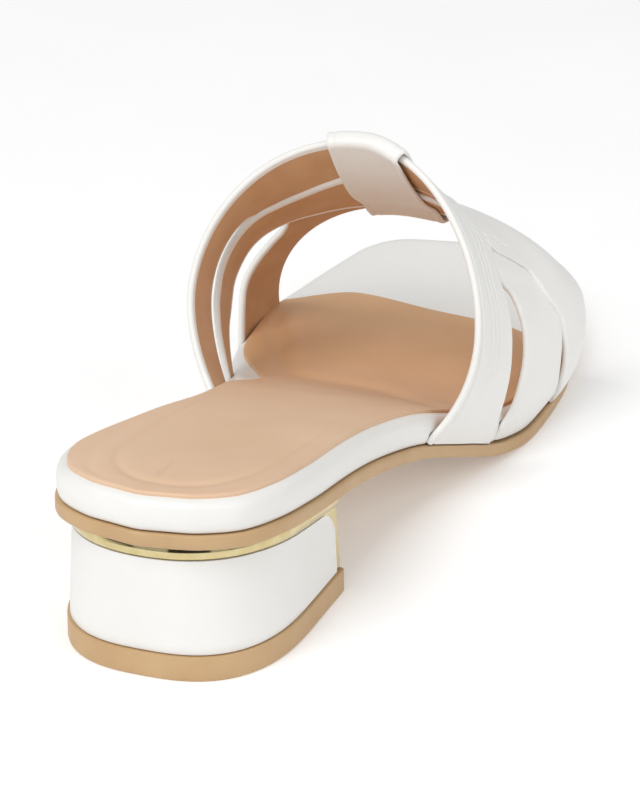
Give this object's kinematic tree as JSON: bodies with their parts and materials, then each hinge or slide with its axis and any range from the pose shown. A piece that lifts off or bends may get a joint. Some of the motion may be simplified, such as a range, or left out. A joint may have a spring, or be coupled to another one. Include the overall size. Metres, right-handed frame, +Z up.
{
  "type": "mule shoe",
  "caption": "Women's open-toe slip-on mule with crossing leather straps over the instep, a leather-wrapped footbed and a low block heel with metal trim.",
  "frame": {"origin": "on the floor, at the middle of the underside of the heel's top lift", "axes": "+Y towards the toe, +X towards the outer side of the foot, +Z up from the floor"},
  "size_m": [0.0951, 0.2465, 0.0863],
  "materials": {
    "white_leather": "smooth, soft sheen",
    "nude_leather": "smooth, matte",
    "tan_sole": "smooth, matte",
    "gold_metal": "polished"
  },
  "bodies": {
    "root": {"top_lift": "tan_sole", "heel_block": "white_leather", "heel_trim": "gold_metal", "outsole": "tan_sole", "footbed": "white_leather", "insole_sock": "nude_leather", "upper": "white_leather", "centre_tab": "white_leather"}
  },
  "joints": []
}
